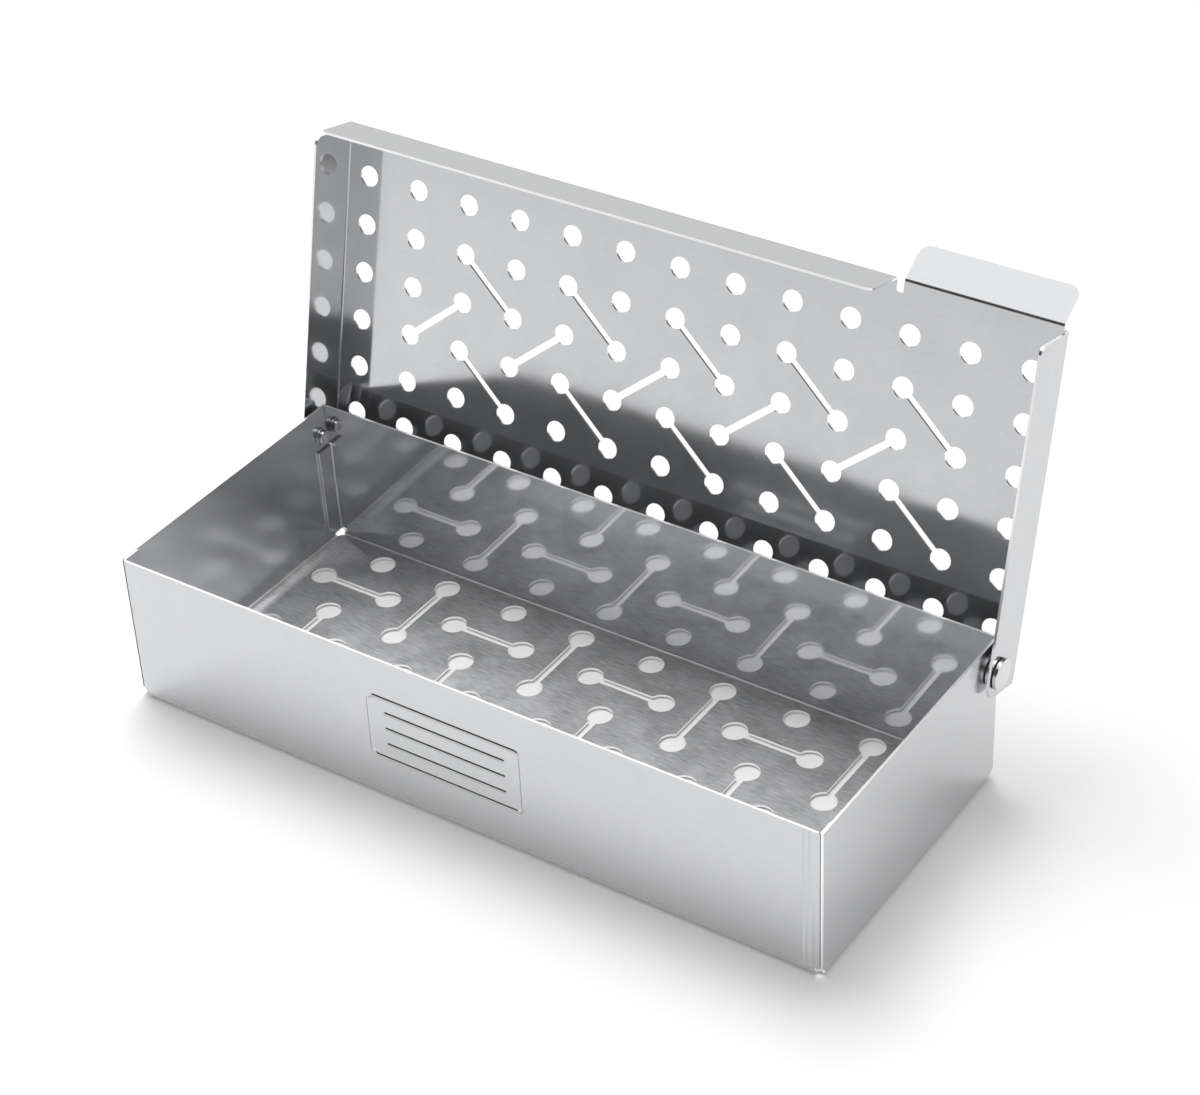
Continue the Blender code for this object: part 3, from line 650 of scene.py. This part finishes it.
front_flange = [
    right_root, *rounded(right_tip, right_root, left_tip, FLANGE_RIGHT_CORNER),
    *rounded(left_tip, right_tip, left_root, FLANGE_LEFT_CORNER), left_root]
rear_tip = rear_fold - QUARTER - (lid_rise - stop_tip - BEND_RADIUS)
lid_outline = np.array([(rear_end, rear_tip), (rear_end, rear_fold), *right_ear, *lift_tab, *front_flange,
                        *mirrored(right_ear), (-rear_end, rear_fold), (-rear_end, rear_tip)])

lid_creases = []
for share in np.arange(BEND_STEPS + 1) / BEND_STEPS:
    line = QUARTER * share
    for side in (-1, 1):
        lid_creases.append([(side * (side_fold + line), ear_start), (side * (side_fold + line), ear_front)])
    lift = tab_bend + BEND_RADIUS * TAB_TILT * share
    lid_creases += [[(flange_left, front_fold + line), (notch_left, front_fold + line)],
                    [(tab_left, lift), (tab_right, lift)],
                    [(-rear_end, rear_fold - line), (rear_end, rear_fold - line)]]

column_x = np.linspace(LID_SIDE_MARGIN - lid_half, lid_half - LID_SIDE_MARGIN, LID_COLUMNS)
row_v = np.linspace(lid_front - LID_FRONT_MARGIN, lid_rear + LID_REAR_MARGIN, LID_ROWS)
zigzag = []
for column in range(2, LID_COLUMNS - 1, 2):
    zigzag += [((column, 1), (column + 1, 2)),
               ((column, 2), (column - 1, 3)),
               ((column, 3), (column + 1, 4))]
joined = {place for pair in zigzag for place in pair}
lid_holes = [((column_x[a], row_v[b]), (column_x[c], row_v[d])) for (a, b), (c, d) in zigzag]
for column in range(LID_COLUMNS):
    for row in range(LID_ROWS):
        if (column, row) not in joined:
            lid_holes.append(((column_x[column], row_v[row]), None))
lid_flat, lid_triangles = cut_blank(lid_outline, lid_creases, lid_holes, LID_HOLE, LID_SLOT)
lid_sheet = sheet_piece("lid_sheet", lid_flat, lid_triangles, fold_lid)
lid_sheet.data.materials.append(brushed_steel("lid_stainless", (0.62, 0.625, 0.635), sharp=0.09, haze=0.18,
                                              rubbed_half=(1, 0), **SHEET_LOOK))
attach(lid_sheet, "lid")
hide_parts("lid")

# The two rivets, turned from bright stainless: a flat head outside the ear, with a soft edge, a faint ring
# and two small punch marks, a plain shank, and a clinched, hollow end inside the tray.
SHANK = 0.0040
HEAD = 0.0100
HEAD_THICKNESS = 0.0012
HEAD_EDGE = 0.00035
RING_RADIUS = 0.0035
RING_HALF_WIDTH = 0.0004
RING_DEPTH = 0.00004
MARK_OFFSET = 0.00085
MARK_RADIUS = 0.00045
MARK_DEPTH = 0.00016
CLINCH = 0.0046
CLINCH_THICKNESS = 0.0011
CLINCH_EDGE = 0.00045
CLINCH_HOLLOW = 0.0020
CLINCH_HOLLOW_DEPTH = 0.0006
WASHER = 0.0054
WASHER_THICKNESS = 0.0005
FINE_EDGE = 0.0001
AXIS_RADIUS = 0.000001
PROFILE_STEP = 0.00012
CORNER_POINTS = 7
TURNED_SIDES = 128


def profile_line(corners):
    """A profile through corners (along the axis, radius, rounding radius): straight runs of evenly spaced
    points, with a quarter circle of a few points at each corner that is rounded."""
    corners = [np.array(corner, float) for corner in corners]
    line = []
    for number, corner in enumerate(corners):
        inner = 0 < number < len(corners) - 1
        if not inner or corner[2] == 0:
            line.append(corner[None, :2])
            continue
        before = corners[number - 1][:2] - corner[:2]
        after = corners[number + 1][:2] - corner[:2]
        before = before / np.linalg.norm(before) * corner[2]
        after = after / np.linalg.norm(after) * corner[2]
        turns = np.linspace(0, pi / 2, CORNER_POINTS)[:, None]
        line.append(corner[:2] + before + after - after * np.cos(turns) - before * np.sin(turns))
    line = np.concatenate(line)
    run = np.concatenate([[0], np.cumsum(np.linalg.norm(np.diff(line, axis=0), axis=1))])
    samples = np.unique(np.concatenate([run, np.arange(0, run[-1], PROFILE_STEP)]))
    return np.stack([np.interp(samples, run, line[:, 0]), np.interp(samples, run, line[:, 1])], 1)


def turned(name, profile, side, material, body, node, relief=None, closed=False):
    """A turned piece on the pivot's axis: the profile's distance along the axis and its radius, carried
    round in even turns. A relief adds a height along the axis at places on the head's face."""
    turns = 2 * pi * np.arange(TURNED_SIDES) / TURNED_SIDES
    along = np.repeat(profile[:, :1], TURNED_SIDES, 1)
    across = profile[:, 1:] * np.cos(turns)
    up = profile[:, 1:] * np.sin(turns)
    if relief:
        along = along + relief(along, across, up)
    places = np.stack([side * along, side * across, up], 2).reshape(-1, 3) + pivot
    rings = len(profile)
    ring = np.arange(rings if closed else rings - 1)[:, None]
    spoke = np.arange(TURNED_SIDES)[None]
    next_ring, next_spoke = (ring + 1) % rings, (spoke + 1) % TURNED_SIDES
    faces = np.stack([ring * TURNED_SIDES + spoke, ring * TURNED_SIDES + next_spoke,
                      next_ring * TURNED_SIDES + next_spoke, next_ring * TURNED_SIDES + spoke], 2)
    faces = faces.reshape(-1, 4)
    mesh = bpy.data.meshes.new(name)
    mesh.from_pydata(places, [], faces.tolist())
    mesh.polygons.foreach_set("use_smooth", np.ones(len(faces), bool))
    mesh.set_sharp_from_angle(angle=radians(40))
    piece = bpy.data.objects.new(name, mesh)
    bpy.context.scene.collection.objects.link(piece)
    piece.data.materials.append(material)
    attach(piece, body)
    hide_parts(node)


def head_marks(along, across, up):
    """The head's faint turned ring and its two punch marks in the flat face: hollows whose depth is a
    squared cosine of the distance across them."""
    radius = np.hypot(across, up)
    ring = np.cos(np.clip((radius - RING_RADIUS) / RING_HALF_WIDTH, -1, 1) * pi / 2) ** 2
    marks = 0
    for offset in (-MARK_OFFSET, MARK_OFFSET):
        near = np.hypot(across, up - offset) / MARK_RADIUS
        marks = marks + np.cos(np.clip(near, 0, 1) * pi / 2) ** 2
    on_face = along > head_high - FINE_EDGE / 10
    return np.where(on_face, -RING_DEPTH * ring - MARK_DEPTH * marks, 0)


TURNING_SCALE = 4500.0
TURNING_DEPTH = 0.000003
STAIN_SCALE = 500.0
STAIN_ROUGHNESS_SPREAD = 0.25
STAIN_TINT_SPREAD = 0.1


def turned_steel(name, colour, roughness):
    """Turned stainless: fine rings round the pivot's axis in the bump, whose height follows a noise of the
    radius, and soft clouds in the roughness and the colour."""
    material = bpy.data.materials.new(name)
    material.use_nodes = True
    add = node_maker(material)
    shader = material.node_tree.nodes["Principled BSDF"]
    link = material.node_tree.links.new
    place = add("ShaderNodeTexCoord").outputs["Object"]
    centred = add("ShaderNodeVectorMath", {0: place, 1: tuple(pivot)}, operation="SUBTRACT")
    parts = add("ShaderNodeSeparateXYZ", {"Vector": centred.outputs["Vector"]}).outputs
    flat = add("ShaderNodeCombineXYZ", {"Y": parts["Y"], "Z": parts["Z"]}).outputs["Vector"]
    radius = add("ShaderNodeVectorMath", {0: flat}, operation="LENGTH").outputs["Value"]
    rings = add("ShaderNodeTexNoise", {"W": radius, "Scale": TURNING_SCALE, "Detail": 2.0},
                noise_dimensions="1D").outputs["Fac"]
    cloud = add("ShaderNodeTexNoise", {"Vector": place, "Scale": STAIN_SCALE, "Detail": 3.0}).outputs["Fac"]
    rough = ranged(add, cloud, *NOISE_RANGE, roughness * (1 - STAIN_ROUGHNESS_SPREAD),
                   roughness * (1 + STAIN_ROUGHNESS_SPREAD))
    link(rough, shader.inputs["Roughness"])
    darker = [part * (1 - STAIN_TINT_SPREAD) for part in colour]
    lighter = [min(1, part * (1 + STAIN_TINT_SPREAD)) for part in colour]
    tint = add("ShaderNodeMix", {0: cloud, 6: (*darker, 1), 7: (*lighter, 1)}, data_type="RGBA").outputs[2]
    link(tint, shader.inputs["Base Color"])
    bump = add("ShaderNodeBump", {"Height": rings, "Strength": 1.0, "Distance": TURNING_DEPTH})
    link(bump.outputs["Normal"], shader.inputs["Normal"])
    shader.inputs["Metallic"].default_value = 1
    return material


inner_face = half_length - SHEET
small_high = inner_face - CLEARANCE
small_low = small_high - WASHER_THICKNESS
clinch_high = small_low - CLEARANCE
clinch_low = clinch_high - CLINCH_THICKNESS
head_low = lid_half + CLEARANCE
head_high = head_low + HEAD_THICKNESS
rivet_profile = profile_line([
    (clinch_low + CLINCH_HOLLOW_DEPTH, AXIS_RADIUS, 0),
    (clinch_low + CLINCH_HOLLOW_DEPTH, CLINCH_HOLLOW / 2 - FINE_EDGE, 0),
    (clinch_low, CLINCH_HOLLOW / 2 + FINE_EDGE, 0),
    (clinch_low, CLINCH / 2, CLINCH_EDGE),
    (clinch_high, CLINCH / 2, FINE_EDGE),
    (clinch_high, SHANK / 2, 0),
    (head_low, SHANK / 2, 0),
    (head_low, HEAD / 2, FINE_EDGE),
    (head_high, HEAD / 2, HEAD_EDGE),
    (head_high, AXIS_RADIUS, 0)])
rivet_steel = turned_steel("rivet_stainless", (0.70, 0.70, 0.71), 0.16)
SIDES = ((1, "right"), (-1, "left"))
for side, word in SIDES:
    turned(f"rivet_body_{word}", rivet_profile, side, rivet_steel, "tray", f"rivet_{word}",
           relief=head_marks)

# The washers: a spacer between each end wall and ear, and a small burr washer under each clinched end,
# punched from stainless sheet, with softly rolled edges.
SPACER = 0.0090
ROLLED_EDGE = 0.00012


def washer_profile(low, high, hole_radius, outer_radius):
    """A flat ring's section with rolled edges: from the middle of its hole's wall round its four corners to
    that middle again, which isn't repeated."""
    start = ((low + high) / 2, hole_radius, 0)
    corners = [(high, hole_radius, ROLLED_EDGE), (high, outer_radius, ROLLED_EDGE),
               (low, outer_radius, ROLLED_EDGE), (low, hole_radius, ROLLED_EDGE)]
    return profile_line([start, *corners, start])[:-1][::-1]


washer_steel = turned_steel("washer_stainless", (0.60, 0.60, 0.61), 0.28)
spacer_low = half_length + CLEARANCE
spacer_high = half_length + LID_SIDE_GAP - CLEARANCE
washer_hole = SHANK / 2 + CLEARANCE
for side, word in SIDES:
    turned(f"spacer_ring_{word}", washer_profile(spacer_low, spacer_high, washer_hole, SPACER / 2), side,
           washer_steel, "tray", f"spacer_{word}", closed=True)
    turned(f"burr_ring_{word}", washer_profile(small_low, small_high, washer_hole, WASHER / 2), side,
           washer_steel, "tray", f"burr_washer_{word}", closed=True)

# The studio: a plain white floor that keeps the box's soft shadow, and one large softbox high up at the
# left rear. The steel mirrors a white room, with a long strip light overhead and three darker sides.
FLOOR_HALF = 4.0
FLOOR_LEVEL = -0.0005
FLOOR_GLOW = 0.09
FLOOR_WHITE = 0.82
# the painted shade that the steel's reflections see on the floor close behind the box, and where it lies
PAINTED_MIRROR_SHADE = 0.08
DARKER_FROM_Y = (0.23, 0.27)
DARKER_UNDER_X = (0.13, 0.10)

floor_mesh = bpy.data.meshes.new("floor")
floor_corners = [(x * FLOOR_HALF, y * FLOOR_HALF, FLOOR_LEVEL)
                 for x, y in ((-1, -1), (1, -1), (1, 1), (-1, 1))]
floor_mesh.from_pydata(floor_corners, [], [(0, 1, 2, 3)])
floor = bpy.data.objects.new("floor", floor_mesh)
bpy.context.scene.collection.objects.link(floor)
floor_material = bpy.data.materials.new("white_sweep")
floor_material.use_nodes = True
add = node_maker(floor_material)
floor_material.node_tree.nodes.remove(floor_material.node_tree.nodes["Principled BSDF"])
path = add("ShaderNodeLightPath").outputs

# close behind the box, the floor is painted dark where only the steel sees it: a painted shade in the
# steel's reflections, which neither the camera nor the floor's own light shows
place = add("ShaderNodeSeparateXYZ", {"Vector": add("ShaderNodeTexCoord").outputs["Object"]}).outputs
behind = ranged(add, place["Y"], *DARKER_FROM_Y)
beside = ranged(add, place["X"], *DARKER_UNDER_X)
behind = combined(add, "MULTIPLY", behind, beside)
painted_mirror_shade_share = combined(add, "MULTIPLY", behind, path["Is Glossy Ray"])
paint = add("ShaderNodeMix", {0: painted_mirror_shade_share, 2: FLOOR_WHITE, 3: PAINTED_MIRROR_SHADE})
white = add("ShaderNodeBsdfDiffuse", {"Color": paint.outputs[0]})

# the camera and the steel see the floor a little lighter than its light alone would make it
seen = combined(add, "MAXIMUM", path["Is Camera Ray"], path["Is Glossy Ray"])
glow = combined(add, "MULTIPLY", seen, FLOOR_GLOW)
shine = add("ShaderNodeEmission", {"Color": (1, 1, 1, 1), "Strength": glow})
total = add("ShaderNodeAddShader", {0: white.outputs["BSDF"], 1: shine.outputs["Emission"]})
output = floor_material.node_tree.nodes["Material Output"]
floor_material.node_tree.links.new(total.outputs["Shader"], output.inputs["Surface"])
floor_mesh.materials.append(floor_material)

AMBIENT = 0.50
ROOM_HEIGHTS = (0.30, 0.95)
ROOM_LIGHT = (0.84, 1.28)
STRIP_LIGHT = 1.5
STRIP_PLANE = (0, 0.96, -0.27)
STRIP_EDGE = (0.10, 0.35)
STRIP_HEIGHTS = (0.35, 0.75)
world = bpy.data.worlds.new("white_room")
bpy.context.scene.world = world
world.use_nodes = True
add = node_maker(world)
path = add("ShaderNodeLightPath").outputs
towards = add("ShaderNodeTexCoord").outputs["Generated"]


def lobe(direction, narrow, wide, depth):
    """How much of the light is kept round a direction: 1 less the depth where the cosine to it is over
    narrow, all of it where the cosine is under wide, and smooth between them."""
    aim = np.array(direction) / np.linalg.norm(direction)
    near = add("ShaderNodeVectorMath", {0: towards, 1: tuple(aim)}, operation="DOT_PRODUCT").outputs["Value"]
    return ranged(add, near, wide, narrow, 1.0, 1 - depth, shape="SMOOTHSTEP")


# the room grows lighter upwards, and a strip light runs overhead along a slanted plane
height = add("ShaderNodeSeparateXYZ", {"Vector": towards}).outputs["Z"]
overhead = ranged(add, height, *ROOM_HEIGHTS, *ROOM_LIGHT, shape="SMOOTHSTEP")
slant = add("ShaderNodeVectorMath", {0: towards, 1: STRIP_PLANE}, operation="DOT_PRODUCT").outputs["Value"]
slant = combined(add, "ABSOLUTE", slant)
strip = ranged(add, slant, *STRIP_EDGE, 1.0, 0.0, shape="SMOOTHSTEP")
aloft = ranged(add, height, *STRIP_HEIGHTS, 0.0, STRIP_LIGHT, shape="SMOOTHSTEP")
above = combined(add, "MULTIPLY_ADD", strip, aloft, 1.0)

# its three darker sides
front = lobe((-0.25, -0.78, 0.57), narrow=0.92, wide=0.77, depth=0.97)
behind_camera = lobe((0.50, -0.65, 0.55), narrow=0.96, wide=0.84, depth=0.92)
right_rear = lobe((0.47, 0.85, 0.23), narrow=0.90, wide=0.70, depth=0.85)
room = overhead
for kept in (above, front, behind_camera, right_rear):
    room = combined(add, "MULTIPLY", room, kept)

# mirrors see the room, the camera sees plain white, and all other rays an even dimmer light
ambient = add("ShaderNodeMix", {0: path["Is Glossy Ray"], 2: AMBIENT, 3: room})
strength = add("ShaderNodeMix", {0: path["Is Camera Ray"], 2: ambient.outputs[0], 3: 1.0})
background = world.node_tree.nodes["Background"]
background.inputs["Color"].default_value = (1, 1, 1, 1)
world.node_tree.links.new(strength.outputs[0], background.inputs["Strength"])

SOFTBOX_PLACE = (-0.93, 0.66, 2.69)
SOFTBOX_SIZE = 1.9
SOFTBOX_POWER = 75
softbox = bpy.data.lights.new("softbox", "AREA")
softbox.shape = "SQUARE"
softbox.size = SOFTBOX_SIZE
softbox.energy = SOFTBOX_POWER
softbox_stand = bpy.data.objects.new("softbox", softbox)
softbox_stand.location = SOFTBOX_PLACE
softbox_stand.rotation_euler = (-Vector(SOFTBOX_PLACE)).to_track_quat("-Z", "Y").to_euler()
softbox_stand.visible_glossy = False
bpy.context.scene.collection.objects.link(softbox_stand)
